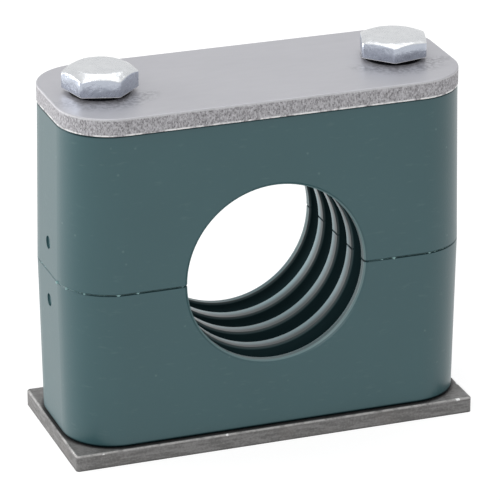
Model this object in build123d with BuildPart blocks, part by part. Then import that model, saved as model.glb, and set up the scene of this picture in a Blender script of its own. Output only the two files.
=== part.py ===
from build123d import *
import os
from math import atan, cos, degrees, radians, tan

# A heavy-series hydraulic tube clamp: a steel weld plate with two threaded bushes, two identical
# plastic halves that grip the tube, a steel cover plate and two hexagon bolts through the whole
# stack. Millimetres. The origin is the middle of the weld plate's underside, +X runs along the
# plates, the tube lies along Y and +Z is up.

# Clamp halves, measured at the parting plane
body_length = 115.0
body_depth = 46.0
half_height = 45.0
body_corner_radius = 15.0
draft_inset = 0.8            # how far each side has drawn in at a half's outer face
outer_edge_round = 0.7
parting_edge_break = 0.3

# Tube seat
tube_radius = 25.4
rib_count = 3
rib_width = 3.9
rim_width = 3.0
groove_depth = 2.6
rib_edge_round = 0.4
rim_chamfer = 0.8
parting_notch = 0.3          # where the parting plane crosses the ribs and rims

# Ejector-pin dimples in the end faces
dimple_radius = 1.8
dimple_depth = 0.5
dimple_height = 8.4          # from the parting plane

# Bolts
bolt_end_distance = 15.5     # from each end of the halves to the bolt's axis
bolt_radius = 6.0
bolt_length = 90.0           # under the head
bolt_tip_chamfer = 1.1
bolt_hole_clearance = 0.75
head_across_flats = 17.6
head_height = 5.9
head_flat_radius = 8.0       # flat disc on top, inside the chamfer
head_chamfer_angle = 24.0
washer_face_height = 1.0
washer_face_inset = 0.6      # in from the flats
left_head_turn = -16.4       # degrees from +X to a corner, as tightened
right_head_turn = 11.9

# Weld plate and its threaded bushes
weld_plate_end_margin = 0.2  # beyond the halves at each end
weld_plate_side_margin = 0.7
weld_plate_thickness = 4.5
weld_plate_corner_radius = 1.0
weld_plate_edge_break = 0.3
bush_radius = 10.0
bush_height = 16.0           # above the weld plate
bush_spigot_radius = 8.5
bush_chamfer = 0.8
spigot_clearance = 0.05
thread_clearance = 0.05
pocket_clearance = 0.5       # round and above the bush

# Cover plate
cover_plate_setback = 0.7    # inside the halves at each end
cover_plate_thickness = 4.9
cover_plate_edge_round = 0.4

# Heights and fits that follow from the sizes above
bolt_spacing = body_length - 2 * bolt_end_distance
weld_plate_length = body_length + 2 * weld_plate_end_margin
weld_plate_width = body_depth + 2 * weld_plate_side_margin
cover_plate_length = body_length - 2 * cover_plate_setback
parting_height = weld_plate_thickness + half_height
body_top = parting_height + half_height
cover_plate_top = body_top + cover_plate_thickness
draft_angle = degrees(atan(draft_inset / half_height))
bolt_hole_radius = bolt_radius + bolt_hole_clearance
thread_hole_radius = bolt_radius + thread_clearance
pocket_radius = bush_radius + pocket_clearance
pocket_depth = bush_height + pocket_clearance
groove_width = (body_depth - 2 * rim_width - rib_count * rib_width) / (rib_count + 1)
cut_overrun = 1.0            # how far a cut runs on past the faces it opens
tube_axis = Axis((0, 0, parting_height), (0, 1, 0))

os.makedirs("parts", exist_ok=True)


# Weld plate: cut flat bar with two holes for the bushes' spigots
with BuildPart() as weld_plate:
    with BuildSketch(Plane.XY):
        RectangleRounded(weld_plate_length, weld_plate_width, weld_plate_corner_radius)
    extrude(amount=weld_plate_thickness)
    chamfer(weld_plate.faces().sort_by(Axis.Z)[-1].outer_wire().edges(), weld_plate_edge_break)
    with Locations(Plane.XY.offset(weld_plate_thickness)):
        with GridLocations(bolt_spacing, 1, 2, 1):
            Hole(bush_spigot_radius + spigot_clearance)
weld_plate.part.label = "weld_plate"
export_step(weld_plate.part, "parts/weld_plate.step")


# Threaded bushes: turned steel, a spigot through the weld plate and a shoulder that stands on it
for bush_name, side in (("left_threaded_bush", -1), ("right_threaded_bush", 1)):
    with BuildPart() as threaded_bush:
        bush_axis = Axis((side * bolt_spacing / 2, 0, 0), (0, 0, 1))
        with BuildSketch(Plane.XZ.move(Location((side * bolt_spacing / 2, 0, 0)))):
            with BuildLine():
                Polyline(
                    (thread_hole_radius + bush_chamfer, 0),
                    (bush_spigot_radius, 0),
                    (bush_spigot_radius, weld_plate_thickness),
                    (bush_radius, weld_plate_thickness),
                    (bush_radius, weld_plate_thickness + bush_height - bush_chamfer),
                    (bush_radius - bush_chamfer, weld_plate_thickness + bush_height),
                    (thread_hole_radius + bush_chamfer, weld_plate_thickness + bush_height),
                    (thread_hole_radius, weld_plate_thickness + bush_height - bush_chamfer),
                    (thread_hole_radius, bush_chamfer),
                    close=True,
                )
            make_face()
        revolve(axis=bush_axis)
    threaded_bush.part.label = bush_name
    export_step(threaded_bush.part, f"parts/{bush_name}.step")


# Lower clamp half: a moulded block that narrows away from the parting plane. The tube seat has
# rounded grooves between narrow ribs, and each bolt hole widens to a pocket round the bush.
with BuildPart() as lower_clamp_half:
    with BuildSketch(Plane.XY.offset(parting_height)):
        RectangleRounded(body_length, body_depth, body_corner_radius)
    extrude(amount=-half_height, taper=draft_angle)
    fillet(lower_clamp_half.faces().sort_by(Axis.Z)[0].edges(), outer_edge_round)
    chamfer(lower_clamp_half.faces().sort_by(Axis.Z)[-1].edges(), parting_edge_break)

    with BuildSketch(Plane(tube_axis.position, x_dir=tube_axis.direction, z_dir=(1, 0, 0))) as seat_profile:
        with BuildLine():
            seat_end = body_depth / 2 + cut_overrun
            Polyline((seat_end, tube_radius), (seat_end, 0), (-seat_end, 0), (-seat_end, tube_radius))
            land_start = -seat_end
            land_width = rim_width + cut_overrun
            for _ in range(rib_count + 1):
                groove_start = land_start + land_width
                Line((land_start, tube_radius), (groove_start, tube_radius))
                land_start = groove_start + groove_width
                SagittaArc((groove_start, tube_radius), (land_start, tube_radius), groove_depth)
                land_width = rib_width
            Line((land_start, tube_radius), (seat_end, tube_radius))
        make_face()
        groove_corners = seat_profile.vertices().filter_by(lambda v: abs(v.X) < body_depth / 2)
        fillet(groove_corners, rib_edge_round)
    revolve(axis=tube_axis, mode=Mode.SUBTRACT)
    seat_rims = lower_clamp_half.edges().filter_by(GeomType.ELLIPSE).sort_by(SortBy.LENGTH)[-2:]
    chamfer(seat_rims, rim_chamfer)
    with BuildSketch(Plane.XY.offset(parting_height)):
        Rectangle(2 * (tube_radius + parting_notch), body_depth + 2 * cut_overrun)
    extrude(amount=-parting_notch, mode=Mode.SUBTRACT)

    end_face_inset = draft_inset * dimple_height / half_height
    with BuildSketch(Plane.YZ.offset(body_length / 2 - end_face_inset - dimple_depth)):
        with Locations((0, parting_height - dimple_height)):
            Circle(dimple_radius)
    extrude(amount=dimple_depth + cut_overrun, mode=Mode.SUBTRACT)
    mirror(about=Plane.YZ, mode=Mode.INTERSECT)

    with Locations(Plane((0, 0, weld_plate_thickness), x_dir=(1, 0, 0), z_dir=(0, 0, -1))):
        with GridLocations(bolt_spacing, 1, 2, 1):
            CounterBoreHole(bolt_hole_radius, pocket_radius, pocket_depth)
lower_clamp_half.part.label = "lower_clamp_half"
export_step(lower_clamp_half.part, "parts/lower_clamp_half.step")


# Upper clamp half: the same moulding, turned over about the tube
with BuildPart() as upper_clamp_half:
    add(lower_clamp_half.part.rotate(tube_axis, 180))
upper_clamp_half.part.label = "upper_clamp_half"
export_step(upper_clamp_half.part, "parts/upper_clamp_half.step")


# Cover plate: blanked steel with round ends that follow the halves, and two clearance holes
with BuildPart() as cover_plate:
    with BuildSketch(Plane.XY.offset(body_top)):
        RectangleRounded(cover_plate_length, body_depth, body_corner_radius)
    extrude(amount=cover_plate_thickness)
    fillet(cover_plate.faces().sort_by(Axis.Z)[-1].edges(), cover_plate_edge_round)
    with Locations(Plane.XY.offset(cover_plate_top)):
        with GridLocations(bolt_spacing, 1, 2, 1):
            Hole(bolt_hole_radius)
cover_plate.part.label = "cover_plate"
export_step(cover_plate.part, "parts/cover_plate.step")


# Hexagon bolts: a thin hexagon head with a chamfered top, on a round washer face, over a shank
# that reaches down through both halves into its bush
head_corner_radius = head_across_flats / 2 / cos(radians(30))
head_chamfer_drop = (head_corner_radius - head_flat_radius) * tan(radians(head_chamfer_angle))
head_top = cover_plate_top + head_height
for bolt_name, side, turn in (("left_hex_bolt", -1, left_head_turn), ("right_hex_bolt", 1, right_head_turn)):
    bolt_x = side * bolt_spacing / 2
    with BuildPart() as hex_bolt:
        with BuildSketch(Plane((bolt_x, 0, cover_plate_top + washer_face_height))):
            RegularPolygon(head_corner_radius, 6, rotation=turn)
        extrude(amount=head_height - washer_face_height)
        with BuildSketch(Plane((bolt_x, 0, cover_plate_top), x_dir=(1, 0, 0), z_dir=(0, -1, 0))):
            with BuildLine():
                Polyline(
                    (0, 0),
                    (head_corner_radius, 0),
                    (head_corner_radius, head_height - head_chamfer_drop),
                    (head_flat_radius, head_height),
                    (0, head_height),
                    close=True,
                )
            make_face()
        bolt_axis = Axis((bolt_x, 0, 0), (0, 0, 1))
        revolve(axis=bolt_axis, mode=Mode.INTERSECT)
        with BuildSketch(Plane((bolt_x, 0, cover_plate_top))):
            Circle(head_across_flats / 2 - washer_face_inset)
        extrude(amount=washer_face_height)
        with BuildSketch(Plane((bolt_x, 0, cover_plate_top))):
            Circle(bolt_radius)
        extrude(amount=-bolt_length)
        chamfer(hex_bolt.faces().sort_by(Axis.Z)[0].edges(), bolt_tip_chamfer)
    hex_bolt.part.label = bolt_name
    export_step(hex_bolt.part, f"parts/{bolt_name}.step")
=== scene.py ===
import bpy
import numpy as np
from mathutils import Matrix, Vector


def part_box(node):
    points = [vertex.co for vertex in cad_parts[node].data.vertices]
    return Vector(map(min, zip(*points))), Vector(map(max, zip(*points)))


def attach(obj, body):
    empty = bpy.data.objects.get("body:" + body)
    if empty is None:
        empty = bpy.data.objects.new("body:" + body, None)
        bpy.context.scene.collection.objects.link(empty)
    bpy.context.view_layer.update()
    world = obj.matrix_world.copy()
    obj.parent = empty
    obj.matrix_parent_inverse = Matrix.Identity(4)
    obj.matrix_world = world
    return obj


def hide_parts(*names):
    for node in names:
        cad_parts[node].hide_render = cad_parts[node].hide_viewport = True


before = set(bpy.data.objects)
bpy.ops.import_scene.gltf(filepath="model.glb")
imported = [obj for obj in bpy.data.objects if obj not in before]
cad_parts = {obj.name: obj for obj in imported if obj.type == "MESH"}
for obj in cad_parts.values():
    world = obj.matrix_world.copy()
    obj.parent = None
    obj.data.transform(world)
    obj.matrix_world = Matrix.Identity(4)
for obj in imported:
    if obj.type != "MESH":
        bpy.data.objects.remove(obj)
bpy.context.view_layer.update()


# Weld plate. Hot-rolled flat bar, sheared to length, that carries the clamp and is welded to the
# machine. Its skin is dark and brownish, and its corners have been knocked and rubbed bright.
MM = 0.001
CORNER = 15 * MM                         # radius of the halves' corners, seen from above
OUTER_FACE = 56.7 * MM, 22.2 * MM        # half length and half depth where a half meets a plate


class Link:
    """A shader socket that does arithmetic: an expression on links adds its Math nodes."""

    def __init__(self, tree, socket=None):
        self.tree = tree
        self.socket = socket

    def node(self, kind, settings=None, values=None, output=0):
        """Adds a node of any type: its settings first, then values or links for its sockets."""
        made = self.tree.nodes.new(kind)
        for name, setting in (settings or {}).items():
            setattr(made, name, setting)
        for name, value in (values or {}).items():
            if isinstance(value, Link):
                self.tree.links.new(value.socket, made.inputs[name])
            else:
                made.inputs[name].default_value = value
        return Link(self.tree, made.outputs[output]) if made.outputs else made

    def math(self, operation, *operands):
        return self.node("ShaderNodeMath", {"operation": operation}, dict(enumerate(operands)))

    def __add__(self, other):
        return self.math("ADD", self, other)

    def __radd__(self, other):
        return self.math("ADD", other, self)

    def __sub__(self, other):
        return self.math("SUBTRACT", self, other)

    def __rsub__(self, other):
        return self.math("SUBTRACT", other, self)

    def __mul__(self, other):
        return self.math("MULTIPLY", self, other)

    def __rmul__(self, other):
        return self.math("MULTIPLY", other, self)

    def __abs__(self):
        return self.math("ABSOLUTE", self)


class Finish(Link):
    """A material under construction: its tree, the object's own coordinates, and its noises."""

    def __init__(self, name):
        self.material = bpy.data.materials.new(name)
        self.material.use_nodes = True
        super().__init__(self.material.node_tree)
        self.tree.nodes.clear()
        self.place = self.node("ShaderNodeTexCoord", output=3)
        self.x, self.y, self.z = (
            self.node("ShaderNodeSeparateXYZ", values={"Vector": self.place}, output=axis)
            for axis in range(3)
        )

    def noise(self, size, detail=2.0, stretch=(1, 1, 1), roughness=0.5):
        """Soft noise from 0 to 1 whose lumps are about `size` metres across."""
        scaled = self.node("ShaderNodeMapping", values={"Vector": self.place, "Scale": stretch})
        values = {"Vector": scaled, "Scale": 1 / size, "Detail": detail, "Roughness": roughness}
        return self.node("ShaderNodeTexNoise", values=values)

    def specks(self, size):
        """Distance to the nearest of many scattered points, as a share of their spacing."""
        values = {"Vector": self.place, "Scale": 1 / size}
        return self.node("ShaderNodeTexVoronoi", values=values)

    def step(self, value, low, high):
        """Rises smoothly from 0 at `low` to 1 at `high`."""
        settings = {"interpolation_type": "SMOOTHSTEP"}
        values = {"Value": value, "From Min": low, "From Max": high}
        return self.node("ShaderNodeMapRange", settings, values)

    def fade(self, value, low, high):
        """Falls smoothly from 1 at `low` to 0 at `high`."""
        return 1 - self.step(value, low, high)

    def hypotenuse(self, first, second):
        """The root of the sum of two squares."""
        return self.math("SQRT", first * first + second * second)

    def upward(self):
        """The vertical part of the surface's normal: 1 on a flat top and 0 on a side."""
        normal = self.node("ShaderNodeNewGeometry", output=1)
        return self.node("ShaderNodeSeparateXYZ", values={"Vector": normal}, output=2)

    def tint(self, first, second, share):
        """Blends two colours by a share."""
        ends = [end if isinstance(end, Link) else (*end, 1) for end in (first, second)]
        values = {0: share, 6: ends[0], 7: ends[1]}
        return self.node("ShaderNodeMix", {"data_type": "RGBA"}, values, output=2)

    def bump(self, height, depth):
        """Turns a height from 0 to 1 into a normal; `depth` is its full height in metres."""
        values = {"Height": height, "Distance": depth, "Strength": 1.0}
        return self.node("ShaderNodeBump", values=values)

    def gap_to_block(self, reach_x, reach_y):
        """Distance out from a rounded block's side: beyond its corners' centres the x and y
        overshoots are combined as a hypotenuse, less the corner radius."""
        over_x = self.math("MAXIMUM", abs(self.x) - (reach_x - CORNER), 0.0)
        over_y = self.math("MAXIMUM", abs(self.y) - (reach_y - CORNER), 0.0)
        return self.hypotenuse(over_x, over_y) - CORNER

    def done(self, **sockets):
        """Closes the material with one principled shader; a name's _ stands for a space."""
        values = {}
        for name, value in sockets.items():
            name = name.replace("_", " ")
            values[name] = (*value, 1) if isinstance(value, tuple) else value
        shader = self.node("ShaderNodeBsdfPrincipled", values=values)
        self.node("ShaderNodeOutputMaterial", values={"Surface": shader})
        return self.material


def dress(node, material):
    """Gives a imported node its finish."""
    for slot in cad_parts[node].material_slots:
        slot.material = material


DARK_SKIN = 0.13, 0.127, 0.124
PALE_SKIN = 0.235, 0.23, 0.228
RUST_BROWN = 0.19, 0.17, 0.155
LOWER_EDGE_SHADE = 0.06, 0.06, 0.06
WORN_STEEL = 0.56, 0.55, 0.54
CONTACT_SHADOW_BLACK = 0.01, 0.01, 0.011
BARE_NICK = 1, 1, 1
low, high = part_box("weld_plate")
weld = Finish("rolled_steel")
scale_skin = weld.noise(0.0007, 4, roughness=0.6)
rust_haze = weld.noise(0.012, 3)
side_gap = weld.math("MINIMUM", high[0] - abs(weld.x), high[1] - abs(weld.y))
top_gap = high[2] - weld.z
streak = weld.noise(0.0008, 4, stretch=(0.15, 0.15, 1), roughness=0.6)
wear = weld.noise(0.003, 5, roughness=0.7)
tone = weld.step(0.4 * scale_skin + 0.6 * streak, 0.38, 0.62)
# Painted shadow: the weld plate's top is blackened under and round the foot of the lower half.
shadow_under_body = weld.step(weld.z, high[2] - 0.0008, high[2] - 0.0004) * (
    weld.fade(weld.gap_to_block(*OUTER_FACE), 0.0003, 0.0015))
on_edge = weld.fade(side_gap, 0.0003, 0.0008) * weld.fade(top_gap, 0.0002, 0.0007)
rubbed = on_edge * weld.step(wear, 0.28, 0.6)
nick = on_edge * weld.step(weld.noise(0.003, 2), 0.67, 0.7)
weld_colour = weld.tint(DARK_SKIN, PALE_SKIN, tone)
weld_colour = weld.tint(weld_colour, RUST_BROWN, 0.3 * weld.step(rust_haze, 0.5, 0.75))
# Painted shade: the weld plate's colour darkens over its bottom 0.6 mm, along the floor.
weld_colour = weld.tint(
    weld_colour, LOWER_EDGE_SHADE, 0.6 * weld.fade(weld.z, 0.0001, 0.0006))
weld_colour = weld.tint(weld_colour, WORN_STEEL, 0.7 * rubbed)
weld_colour = weld.tint(weld_colour, BARE_NICK, nick)
weld_colour = weld.tint(weld_colour, CONTACT_SHADOW_BLACK, 0.9 * shadow_under_body)
dress("weld_plate", weld.done(
    Base_Color=weld_colour,
    Metallic=0.2,
    Roughness=0.55 - 0.2 * rubbed,
    Normal=weld.bump(scale_skin + wear * on_edge, 0.00012),
))


# Threaded bushes. Turned steel, pressed through the weld plate and fixed there, with a thread
# cut through for the bolt.
TURNED_DARK = 0.36, 0.35, 0.34
TURNED_PALE = 0.5, 0.49, 0.48
turned = Finish("turned_steel")
tool_marks = turned.noise(0.004, 2, stretch=(0.1, 0.1, 8))
turned_steel = turned.done(
    Base_Color=turned.tint(TURNED_DARK, TURNED_PALE, tool_marks),
    Metallic=0.9,
    Roughness=0.3 + 0.15 * tool_marks,
    Normal=turned.bump(tool_marks, 0.00003),
)
for bush in ("left_threaded_bush", "right_threaded_bush"):
    dress(bush, turned_steel)


# Clamp halves. Dark green polypropylene, moulded, semi-matt, with a fine moulded grain, scuffs
# from handling and a few pale specks.
PARTING = 49.5 * MM
PARTING_FACE = 57.5 * MM, 23 * MM        # half length and half depth at the parting plane
TUBE_RADIUS = 25.4 * MM
RIB_PITCH = 10.975 * MM
RIB_START = 13.92 * MM                   # from the middle to 1 mm in front of the first rib
FOOT_SHADE_TOP = 5.0 * MM                # the shade on the lower half's foot fades above this
HEAD_SHADE_START = 93.7 * MM             # and the one under the cover plate grows above this
DEEP_GREEN = 0.019, 0.078, 0.089
LIGHT_GREEN = 0.031, 0.098, 0.11
SCUFFED_GREEN = 0.12, 0.2, 0.2
RIB_SHADE = 0.01, 0.03, 0.034
RIB_SHINE = 0.27, 0.42, 0.46
RIM_SHINE = 0.16, 0.26, 0.27
PAINTED_SHADE_BLACK = 0.003, 0.02, 0.024
plastic = Finish("green_polypropylene")
cloud = plastic.noise(0.03, 3)
grain = plastic.noise(0.0006, 2)
scuff = plastic.step(plastic.noise(0.004, 5, stretch=(1, 1, 4)), 0.6, 0.8)
speck = plastic.fade(plastic.specks(0.006), 0.03, 0.08)
from_axis = plastic.hypotenuse(plastic.x, plastic.z - PARTING)
in_bore = plastic.fade(from_axis, TUBE_RADIUS + 0.0032, TUBE_RADIUS + 0.0034) * plastic.fade(
    abs(plastic.y), 0.0201, 0.0204)
# Painted shade: the grooves between the bore's ribs are tinted near black.
in_groove = in_bore * plastic.step(from_axis, TUBE_RADIUS + 0.0001, TUBE_RADIUS + 0.0008)
past_groove = plastic.math("MODULO", plastic.y + (RIB_START + 4 * RIB_PITCH), RIB_PITCH)
rib_light = plastic.step(past_groove, 0.0017, 0.0046)
rim_light = plastic.step(abs(plastic.y), 0.0214, 0.0218) * plastic.fade(
    from_axis, TUBE_RADIUS + 0.0003, TUBE_RADIUS + 0.0005)
# Painted shade: a dark line along the joint between the halves, in patches on the outside and all
# along the bore's edge.
seam_fade = plastic.step(plastic.noise(0.012, 2), 0.3, 0.48) * plastic.fade(
    abs(plastic.x), 0.051, 0.056)
by_side = plastic.step(plastic.gap_to_block(*PARTING_FACE), -0.0006, -0.0004)
by_bore = plastic.fade(from_axis, TUBE_RADIUS + 0.0005, TUBE_RADIUS + 0.0007)
seam = plastic.math("MAXIMUM", seam_fade * by_side, by_bore) * plastic.fade(
    abs(plastic.z - PARTING), 0.00022, 0.00036)
by_rim = plastic.step(plastic.gap_to_block(*OUTER_FACE), -0.0009, -0.0007)
foot_shade = plastic.fade(plastic.z, FOOT_SHADE_TOP, FOOT_SHADE_TOP + 0.0006)
head_shade = plastic.step(plastic.z, HEAD_SHADE_START, HEAD_SHADE_START + 0.0004)
shaded_edge = by_rim * plastic.math("MAXIMUM", foot_shade, head_shade)
green = plastic.tint(DEEP_GREEN, LIGHT_GREEN, cloud)
green = plastic.tint(green, SCUFFED_GREEN, 0.2 * scuff + 0.4 * speck)
rib_colour = plastic.tint(RIB_SHADE, RIB_SHINE, rib_light)
green = plastic.tint(green, rib_colour, in_bore * (1 - in_groove))
green = plastic.tint(green, RIM_SHINE, 0.7 * rim_light)
# Painted shade: the grooves, the joint line and the edges by the plates are tinted near black,
# made partly metallic and lose their coat.
painted_shade = plastic.math("MAXIMUM", in_groove, plastic.math("MAXIMUM", seam, shaded_edge))
green = plastic.tint(green, PAINTED_SHADE_BLACK, painted_shade)
green_plastic = plastic.done(
    Base_Color=green,
    Roughness=0.34 + 0.1 * cloud + 0.4 * in_groove,
    Metallic=0.7 * painted_shade,
    Normal=plastic.bump(grain, 0.00003),
    Coat_Weight=0.3 * (1 - painted_shade),
    Coat_Roughness=0.35,
)
for half in ("lower_clamp_half", "upper_clamp_half"):
    dress(half, green_plastic)


# Moulding flash. A ragged lip of plastic left along the parting line, which stands out of the
# joint in places and lies back inside it in others.
FLASH_STEP = 0.25 * MM
FLASH_START = 26.6 * MM                  # from the middle, just outside the bore
FLASH_ROOT = -0.9 * MM                   # how far in from the side its hidden edge lies
FLASH_TIP = 0.05 * MM


def grid_faces(rows, columns, closed=False):
    """Faces of a grid of points, row by row: each joins a point, the one beside it and the two
    in the next row. A closed grid's last column is joined to its first."""
    row, column = np.meshgrid(
        np.arange(rows - 1), np.arange(columns - (not closed)), indexing="ij")
    here, beside = row * columns + column, row * columns + (column + 1) % columns
    return np.stack([here, beside, beside + columns, here + columns], -1).reshape(-1, 4).tolist()


def add_piece(name, points, faces, material):
    """Makes an object from points and faces and puts it in the scene."""
    mesh = bpy.data.meshes.new(name)
    mesh.from_pydata(points.tolist(), [], faces)
    mesh.materials.append(material)
    piece = bpy.data.objects.new(name, mesh)
    bpy.context.scene.collection.objects.link(piece)
    return piece


# Painted highlight: the flash is given a pale green, far lighter than the halves, that stands in
# for its glint.
flash_plastic = Finish("flash_highlight_polypropylene")
flash_highlight_green = flash_plastic.done(Base_Color=(0.22, 0.38, 0.38), Roughness=0.35)
low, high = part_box("lower_clamp_half")
arc_centre = high[0] - CORNER, high[1] - CORNER
arc = np.arange(0, np.pi / 2, FLASH_STEP / CORNER)
straight = np.arange(FLASH_START, arc_centre[0], FLASH_STEP)
across = np.arange(-arc_centre[1], arc_centre[1], FLASH_STEP)
# Each column of the path is a place in x and y, then the direction straight out of the side.
front_line = np.stack([straight, 0 * straight - high[1], 0 * straight, 0 * straight - 1], 1)
front_arc = np.stack([
    arc_centre[0] + CORNER * np.sin(arc), -arc_centre[1] - CORNER * np.cos(arc),
    np.sin(arc), -np.cos(arc)], 1)
end_line = np.stack([0 * across + high[0], across, 0 * across + 1, 0 * across], 1)
to_back = [1, -1, 1, -1]
path = np.concatenate([
    front_line, front_arc, end_line, front_arc[::-1] * to_back, front_line[::-1] * to_back])
window = np.hanning(9)
smoothing = window / np.sqrt((window ** 2).sum())
chance = np.random.default_rng(11)
for side, flash_name in ((-1, "left_parting_flash"), (1, "right_parting_flash")):
    spot, out = path[:, :2] * [side, 1], path[:, 2:] * [side, 1]
    # Smoothed noise of unit spread: only what rises past 0.9 stands out of the joint.
    ragged = np.convolve(chance.normal(size=len(path)), smoothing, "same")
    excess = np.clip(ragged - 0.9, 0, 1.2)
    reach = (-0.3 + 0.55 * excess) * MM
    thick = (0.06 + 0.24 * excess) * MM
    rows = []
    for inset, rise in ((FLASH_ROOT, -thick), (reach, -thick), (reach + FLASH_TIP, 0 * thick),
                        (reach, thick), (FLASH_ROOT, thick)):
        place = spot + out * np.broadcast_to(inset, reach.shape)[:, None]
        rows.append(np.column_stack([place, PARTING + rise]))
    faces = grid_faces(len(rows), len(path))
    flash = add_piece(flash_name, np.concatenate(rows), faces, flash_highlight_green)
    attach(flash, "base")


# Cover plate. Blanked from zinc-plated steel: a smooth grey top, and a torn, speckled cut edge
# between an upper and a lower rim that both carry painted highlights.
BOLT_X = 42 * MM
EDGE_DARK = 0.12, 0.115, 0.12
EDGE_PALE = 0.6, 0.59, 0.62
UPPER_RIM_HIGHLIGHT = 0.66, 0.66, 0.68
LOWER_RIM_HIGHLIGHT = 0.95, 0.95, 0.95
TOP_DARK = 0.405, 0.405, 0.435
TOP_PALE = 0.48, 0.48, 0.51
MOTTLE_GREY = 0.17, 0.17, 0.19
SEAT_SHADOW_BLACK = 0.01, 0.01, 0.012
low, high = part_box("cover_plate")
cover = Finish("zinc_plated_sheet")
sheen = cover.noise(0.02, 3)
brushed = cover.noise(0.0015, 4, stretch=(0.25, 1, 1))
torn = cover.noise(0.0004, 4, stretch=(1, 1, 0.6), roughness=0.75)
cut = cover.fade(abs(cover.upward()), 0.3, 0.7)
# Painted highlight: a pale band along the top of the cut edge, and a near-white one along its
# bottom where the burr runs, broken up by the burr noise.
upper_rim_highlight = cover.step(cover.z, high[2] - 0.0008, high[2] - 0.0004)
lower_rim_highlight = cover.fade(cover.z, low[2] + 0.0002, low[2] + 0.0006)
burr = cover.step(cover.noise(0.002, 3), 0.35, 0.6)
cut_colour = cover.tint(EDGE_DARK, EDGE_PALE, cover.step(torn, 0.28, 0.66))
cut_colour = cover.tint(cut_colour, UPPER_RIM_HIGHLIGHT, 0.8 * upper_rim_highlight)
cut_colour = cover.tint(cut_colour, LOWER_RIM_HIGHLIGHT, lower_rim_highlight * burr)
from_bolt = cover.hypotenuse(abs(abs(cover.x) - BOLT_X), cover.y)
blotch = cover.step(cover.noise(0.0011, 3, roughness=0.7), 0.4, 0.6)
mottle = blotch * cover.fade(from_bolt, 0.012, 0.018) * cover.fade(cover.y, -0.007, -0.003)
# Painted shadow: the cover plate's top is blackened in a disc round each bolt, under its head.
seat_shade = cover.fade(from_bolt, 0.0079, 0.0087)
top_colour = cover.tint(TOP_DARK, TOP_PALE, 0.5 * sheen + 0.5 * brushed)
top_colour = cover.tint(top_colour, MOTTLE_GREY, 0.6 * mottle)
top_colour = cover.tint(top_colour, SEAT_SHADOW_BLACK, seat_shade)
dress("cover_plate", cover.done(
    Base_Color=cover.tint(top_colour, cut_colour, cut),
    Metallic=0.6 - 0.3 * cut,
    Roughness=0.42 + 0.18 * cut,
    Normal=cover.bump(torn * cut, 0.0003),
))


# Hexagon bolts. Forged heads with rounded corners and a bevelled top, on a washer face, and rolled
# threads down to the tip; the whole bolt is bright zinc plated.
WASHER_HEIGHT = 1.0 * MM
WASHER_INSET = 1.0 * MM                  # in from the flats
SOFT_EDGE = 0.25 * MM
CORNER_ROUNDING = 0.25 * MM
HEAD_POINTS = 360                        # round the head, and round the thread
THREAD_POINTS = 72
THREAD_ROWS = 12                         # in one pitch
SHANK_EASE = 0.02 * MM
SHANK_RADIUS = 6 * MM
THREAD_PITCH = 1.75 * MM
THREAD_DEPTH = 1.07 * MM
PLAIN_SHANK = 12 * MM
TIP_BEVEL = 1.1 * MM


def turned_surface(radius, height, capped=True):
    """Points and faces of a surface wound round the z axis from two tables, rows by angles: x is
    the radius times the cosine of the angle, y the radius times its sine, and z the height."""
    rows, count = radius.shape
    angle = np.linspace(0, 2 * np.pi, count, endpoint=False)
    points = np.stack([radius * np.cos(angle), radius * np.sin(angle), height], -1).reshape(-1, 3)
    last = (rows - 1) * count
    caps = [list(range(count))[::-1], list(range(last, last + count))]
    return points, grid_faces(rows, count, closed=True) + caps * capped


def thread_depth(height, crest):
    """A thread's depth from 0 at its crest to 1 at its root: the height in pitches, less the
    share of a turn, is folded into a triangle, and the share `crest` is cut off it."""
    angle = np.linspace(0, 2 * np.pi, THREAD_POINTS, endpoint=False)
    lead = ((height - THREAD_PITCH * angle / (2 * np.pi)) / THREAD_PITCH) % 1
    return np.clip(1.35 * np.abs(2 * lead - 1) - crest, 0, 1)


ZINC_DARK = 0.53, 0.55, 0.575
ZINC_PALE = 0.68, 0.69, 0.7
ZINC_SIDE_SHADE = 0.48, 0.515, 0.585
ARRIS_HIGHLIGHT = 0.9, 0.9, 0.92
bolt = Finish("bright_zinc")
plating = bolt.noise(0.0022, 4)
ripple = bolt.noise(0.005, 2)
under_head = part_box("cover_plate")[1][2]
above_seat = bolt.z - under_head
# Painted shade: the washer face, from the seat to 0.8 mm up, is blackened.
in_gap = bolt.step(above_seat, -0.0001, 0) * bolt.fade(above_seat, 0.0008, 0.00095)
# Painted highlight: a near-white, less metallic band round the foot of the hex, 0.95 to 1.25 mm
# above the seat.
arris_highlight = bolt.step(above_seat, 0.00095, 0.001) * bolt.fade(above_seat, 0.0012, 0.00125)
# Painted shade: faces that stand upright, the head's sides and the shank, get a darker, bluer zinc
# than the top.
side_face = bolt.fade(abs(bolt.upward()), 0.2, 0.7)
zinc = bolt.tint(ZINC_DARK, ZINC_PALE, plating)
zinc = bolt.tint(zinc, ZINC_SIDE_SHADE, side_face)
zinc = bolt.tint(zinc, ARRIS_HIGHLIGHT, arris_highlight)
bright_zinc = bolt.done(
    Base_Color=bolt.tint(zinc, SEAT_SHADOW_BLACK, in_gap),
    Metallic=1.0 - 0.8 * arris_highlight,
    Roughness=0.2 + 0.16 * plating,
    Normal=bolt.bump(plating + ripple, 0.00026),
)
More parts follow.
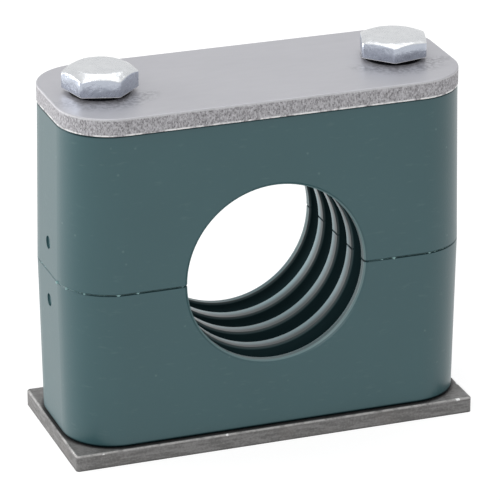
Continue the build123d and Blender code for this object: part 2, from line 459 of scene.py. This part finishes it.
for bolt_name, turn, flats, head_height, top_radius, bevel in (
    ("left_hex_bolt", -16.4, 18.2, 7.15, 7.2, 30.0),
    ("right_hex_bolt", 11.9, 17.6, 6.1, 7.6, 20.4),
):
    low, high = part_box(bolt_name)
    flats, head_height, top_radius = flats * MM, head_height * MM, top_radius * MM
    slope = np.tan(np.radians(bevel))
    top = under_head + head_height
    washer_top = under_head + WASHER_HEIGHT
    # The head: each angle's reach is that of a hexagon whose corners are rounded off slightly.
    angle = np.linspace(0, 2 * np.pi, HEAD_POINTS, endpoint=False)
    from_flat = (angle - np.radians(turn)) % (np.pi / 3) - np.pi / 6
    hexagon = flats / 2 / np.cos(from_flat)
    by_corner = np.clip((np.abs(from_flat) / (np.pi / 6) - 0.9) / 0.1, 0, 1)
    hexagon -= CORNER_ROUNDING * by_corner ** 2
    shoulder = top - (hexagon - top_radius) * slope
    washer_radius = flats / 2 - WASHER_INSET
    head_rows = (
        (top_radius - 2 * SOFT_EDGE, top),
        (top_radius, top - 0.05 * MM),
        (top_radius + SOFT_EDGE, top - SOFT_EDGE * slope - 0.03 * MM),
        (hexagon - SOFT_EDGE, shoulder + SOFT_EDGE * slope),
        (hexagon - 0.08 * MM, shoulder - 0.04 * MM),
        (hexagon, shoulder - SOFT_EDGE),
        (hexagon, washer_top + SOFT_EDGE),
        (hexagon - 0.08 * MM, washer_top + 0.08 * MM),
        (hexagon - SOFT_EDGE, washer_top),
        (washer_radius, washer_top),
        (washer_radius, under_head + 0.01 * MM),
        (SHANK_RADIUS - 0.3 * MM, under_head + 0.01 * MM),
    )
    one = np.ones(HEAD_POINTS)
    head_points, head_faces = turned_surface(
        np.array([radius * one for radius, height in head_rows])[::-1],
        np.array([height * one for radius, height in head_rows])[::-1])
    # The shank: plain under the head, then a thread that deepens over its first two turns.
    length = under_head - low[2]
    threaded = np.arange(PLAIN_SHANK, length, THREAD_PITCH / THREAD_ROWS)
    drop = np.concatenate([[0.0, PLAIN_SHANK], threaded, [length]])
    height = (under_head - drop)[:, None] * np.ones(THREAD_POINTS)
    run_in = np.clip((drop[:, None] - PLAIN_SHANK) / (2 * THREAD_PITCH), 0, 1)
    shank = SHANK_RADIUS - SHANK_EASE - THREAD_DEPTH * (thread_depth(height, 0.1) * run_in)
    shank = np.minimum(shank, SHANK_RADIUS - TIP_BEVEL + (height - low[2]))
    shank_points, shank_faces = turned_surface(shank[::-1], height[::-1])
    axis = [(low[0] + high[0]) / 2, (low[1] + high[1]) / 2, 0]
    points = np.concatenate([head_points, shank_points]) + axis
    faces = head_faces + [[index + len(head_points) for index in face] for face in shank_faces]
    piece = add_piece(bolt_name + "_threaded", points, faces, bright_zinc)
    piece.data.shade_smooth()
    piece.data.set_sharp_from_angle(angle=np.radians(32))
    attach(piece, bolt_name.replace("hex_", ""))
    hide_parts(bolt_name)


# Bush threads. The female thread in each bush, whose ridge lies in the groove of the bolt's thread
# and so stays clear of it as the bolt turns and rises.
BUSH_BORE = 6.03 * MM
RIDGE_HEIGHT = 1.0 * MM
BUSH_MOUTH = 0.9 * MM                    # plain length at each end of the bore
for bush_name in ("left_threaded_bush", "right_threaded_bush"):
    low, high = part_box(bush_name)
    axis = [(low[0] + high[0]) / 2, (low[1] + high[1]) / 2, 0]
    level = np.arange(low[2] + BUSH_MOUTH, high[2] - BUSH_MOUTH, THREAD_PITCH / THREAD_ROWS)
    height = level[:, None] * np.ones(THREAD_POINTS)
    from_end = np.minimum(level - level[0], level[-1] - level)[:, None]
    ridge = thread_depth(height, 0.25) * np.clip(from_end / (0.5 * THREAD_PITCH), 0, 1)
    points, faces = turned_surface(
        (BUSH_BORE - RIDGE_HEIGHT * ridge)[::-1], height[::-1], capped=False)
    name = bush_name.replace("threaded_bush", "bush_thread")
    female = add_piece(name, points + axis, faces, turned_steel)
    female.data.flip_normals()
    female.data.shade_smooth()
    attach(female, "base")


# Studio. A pale floor that keeps the clamp's shadow and is open under the weld plate, an even
# white surround, and soft lamps.
FLOOR_REACH = 4
FLOOR_OVERLAP = 1 * MM                   # how far the floor runs in under the weld plate
CLAMP_MIDDLE = Vector((0, 0, 0.05))


def seen_or_mirrored(shader):
    """1 for a ray from the camera or off a glossy surface, and 0 for any other."""
    camera_ray = shader.node("ShaderNodeLightPath")
    glossy_ray = shader.node("ShaderNodeLightPath", output=3)
    return shader.math("MAXIMUM", camera_ray, glossy_ray)


def corners(low_x, low_y, high_x, high_y):
    """The corners of a rectangle on the floor, in turn."""
    return [(low_x, low_y, 0), (high_x, low_y, 0), (high_x, high_y, 0), (low_x, high_y, 0)]


paper = Finish("white_paper")
lit = paper.node("ShaderNodeBsdfDiffuse", values={"Color": (0.86, 0.86, 0.86, 1)})
glow = paper.node("ShaderNodeEmission", values={"Color": (1, 1, 1, 1), "Strength": 1.3})
mixed = {0: 0.62 * seen_or_mirrored(paper), 1: lit, 2: glow}
paper.node("ShaderNodeOutputMaterial", values={
    "Surface": paper.node("ShaderNodeMixShader", values=mixed)})
low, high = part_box("weld_plate")
ring = corners(-FLOOR_REACH, -FLOOR_REACH, FLOOR_REACH, FLOOR_REACH) + corners(
    low[0] + FLOOR_OVERLAP, low[1] + FLOOR_OVERLAP,
    high[0] - FLOOR_OVERLAP, high[1] - FLOOR_OVERLAP)
strips = [(i, (i + 1) % 4, 4 + (i + 1) % 4, 4 + i) for i in range(4)]
floor = add_piece("floor", np.array(ring), strips, paper.material)

world = bpy.data.worlds.new("surround")
bpy.context.scene.world = world
world.use_nodes = True
surround = Link(world.node_tree)
backdrop = world.node_tree.nodes["Background"]
brightness = 0.55 + 0.45 * seen_or_mirrored(surround)
world.node_tree.links.new(brightness.socket, backdrop.inputs["Strength"])
backdrop.inputs["Color"].default_value = (1, 1, 1, 1)


def softbox(name, spot, size, power):
    """A square lamp at `spot`, turned to the middle of the clamp."""
    lamp = bpy.data.lights.new(name, "AREA")
    lamp.size = size
    lamp.energy = power
    holder = bpy.data.objects.new(name, lamp)
    holder.location = spot
    aim = CLAMP_MIDDLE - Vector(spot)
    holder.rotation_euler = aim.to_track_quat("-Z", "Y").to_euler()
    bpy.context.scene.collection.objects.link(holder)


softbox("rear_left_softbox", (-0.9, 0.55, 0.25), 0.7, 6.5)
softbox("front_left_softbox", (-0.7, -0.6, 0.9), 0.8, 3.2)
softbox("top_softbox", (0.1, 0.2, 1.1), 1.0, 3.2)

camera_turn = np.radians(19.801)
camera_tilt = np.radians(22.227)
camera_distance = 999.0 * MM
aim = Vector((0.43 * MM, 0, 47.63 * MM))
level = np.cos(camera_tilt)
forward = Vector((np.sin(camera_turn) * level, np.cos(camera_turn) * level, -np.sin(camera_tilt)))
camera = bpy.data.objects.new("camera", bpy.data.cameras.new("camera"))
camera.location = aim - camera_distance * forward
camera.rotation_euler = forward.to_track_quat("-Z", "Y").to_euler()
camera.data.lens = 261.2
camera.data.sensor_width = 36.0
camera.data.clip_end = 20
bpy.context.scene.collection.objects.link(camera)
bpy.context.scene.camera = camera
bpy.context.scene.view_settings.view_transform = "Standard"
